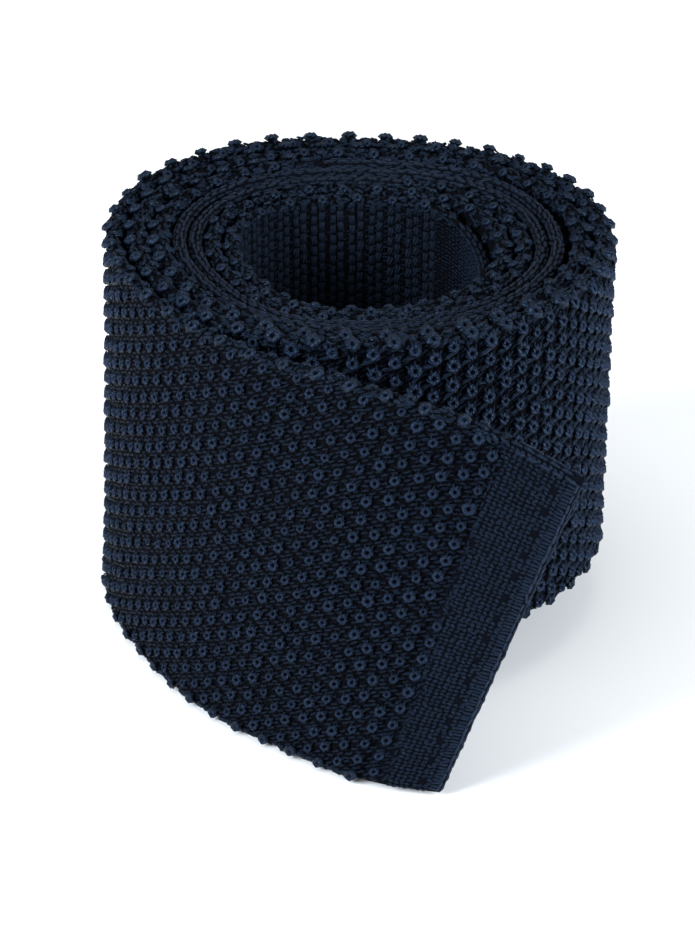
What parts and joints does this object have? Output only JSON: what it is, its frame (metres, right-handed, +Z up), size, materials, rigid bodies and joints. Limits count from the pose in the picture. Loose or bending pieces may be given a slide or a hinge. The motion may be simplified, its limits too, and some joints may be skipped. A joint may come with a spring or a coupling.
{
  "type": "rolled knit necktie",
  "caption": "Square-ended knitted necktie rolled up from its narrow end and standing on its edge, with the end of the wide blade coming loose across the front.",
  "frame": {"origin": "middle of the footprint's bounding box, on the plane that the cloth stands on", "axes": "+Z up, across the width of the cloth and along the roll's axis; +Y from the loose end of the wide blade, at the front, towards the back of the roll; +X to the right as seen from the front"},
  "size_m": [0.0814, 0.1018, 0.063],
  "materials": {
    "blade_knit": "navy textured knit of raised ring-shaped stitches, soft yarn sheen",
    "neck_knit": "navy fine plain knit, matte with a soft yarn sheen",
    "band_knit": "navy fine stocking stitch with wales along the tie, soft yarn sheen"
  },
  "bodies": {
    "root": {"rear_end_band": "band_knit", "rear_blade": "blade_knit", "neck": "neck_knit", "front_blade": "blade_knit", "front_end_band": "band_knit"}
  },
  "joints": []
}
